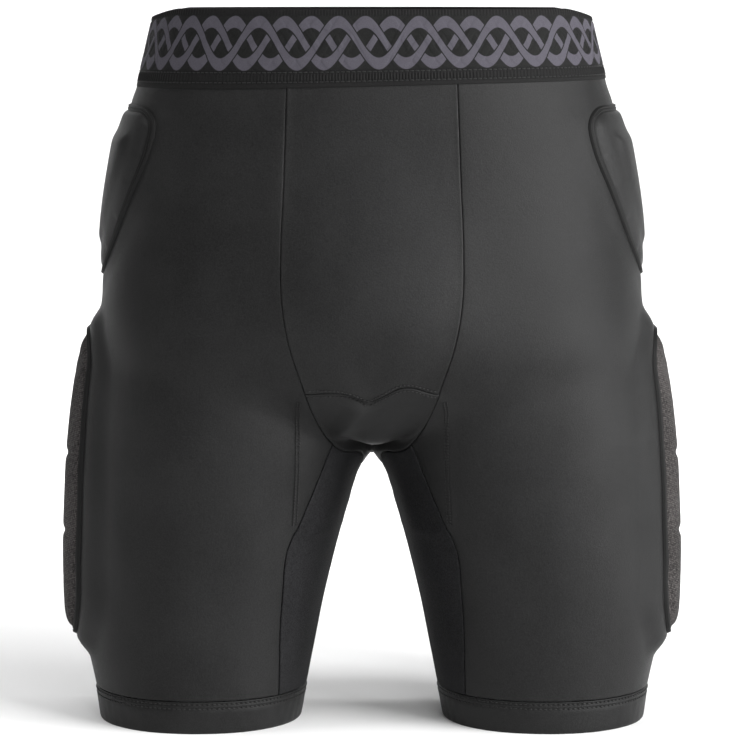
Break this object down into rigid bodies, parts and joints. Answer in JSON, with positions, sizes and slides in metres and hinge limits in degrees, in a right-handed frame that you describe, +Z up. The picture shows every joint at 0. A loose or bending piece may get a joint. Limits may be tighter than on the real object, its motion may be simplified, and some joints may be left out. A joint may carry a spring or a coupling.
{
  "type": "padded impact shorts",
  "caption": "Close-fitting black stretch shorts with an elastic waistband and foam impact pads on the hips, outer thighs, seat and tailbone.",
  "frame": {"origin": "on the surface that the hems stand on, under the middle of the overall box", "axes": "+Z up, -Y the wearer's front, +X the wearer's left"},
  "size_m": [0.379, 0.2618, 0.433],
  "materials": {
    "satin_stretch": "satin knit",
    "elastic": "matt ribbed weave",
    "fine_mesh": "matt knit with small holes",
    "coarse_mesh": "matt open mesh",
    "foam": "matt closed-cell foam",
    "binding": "matt ribbed stitching",
    "thread": "matt thread",
    "label": "plain woven tape"
  },
  "bodies": {
    "root": {"care_label": "label", "crotch_coverstitch": "thread", "crotch_gusset": "satin_stretch", "front_panel": "satin_stretch", "left_back_panel": "satin_stretch", "left_crotch_liner": "fine_mesh", "left_hem_band": "satin_stretch", "left_hem_coverstitch": "thread", "left_hip_pad_binding": "binding", "left_hip_pad_core": "foam", "left_hip_pad_cover": "satin_stretch", "left_inner_thigh_mesh": "fine_mesh", "left_leg_panel": "satin_stretch", "left_seat_pad_binding": "binding", "left_seat_pad_core": "foam", "left_seat_pad_cover": "satin_stretch", "left_thigh_foam_lower": "foam", "left_thigh_foam_middle": "foam", "left_thigh_foam_upper": "foam", "left_thigh_pad_binding": "binding", "left_thigh_pad_cover": "coarse_mesh", "right_back_panel": "satin_stretch", "right_crotch_liner": "fine_mesh", "right_hem_band": "satin_stretch", "right_hem_coverstitch": "thread", "right_hip_pad_binding": "binding", "right_hip_pad_core": "foam", "right_hip_pad_cover": "satin_stretch", "right_inner_thigh_mesh": "fine_mesh", "right_leg_panel": "satin_stretch", "right_seat_pad_binding": "binding", "right_seat_pad_core": "foam", "right_seat_pad_cover": "satin_stretch", "right_thigh_foam_lower": "foam", "right_thigh_foam_middle": "foam", "right_thigh_foam_upper": "foam", "right_thigh_pad_binding": "binding", "right_thigh_pad_cover": "coarse_mesh", "tail_pad_binding": "binding", "tail_pad_core": "foam", "tail_pad_cover": "satin_stretch", "waistband": "elastic", "waistband_coverstitch": "thread"}
  },
  "joints": []
}
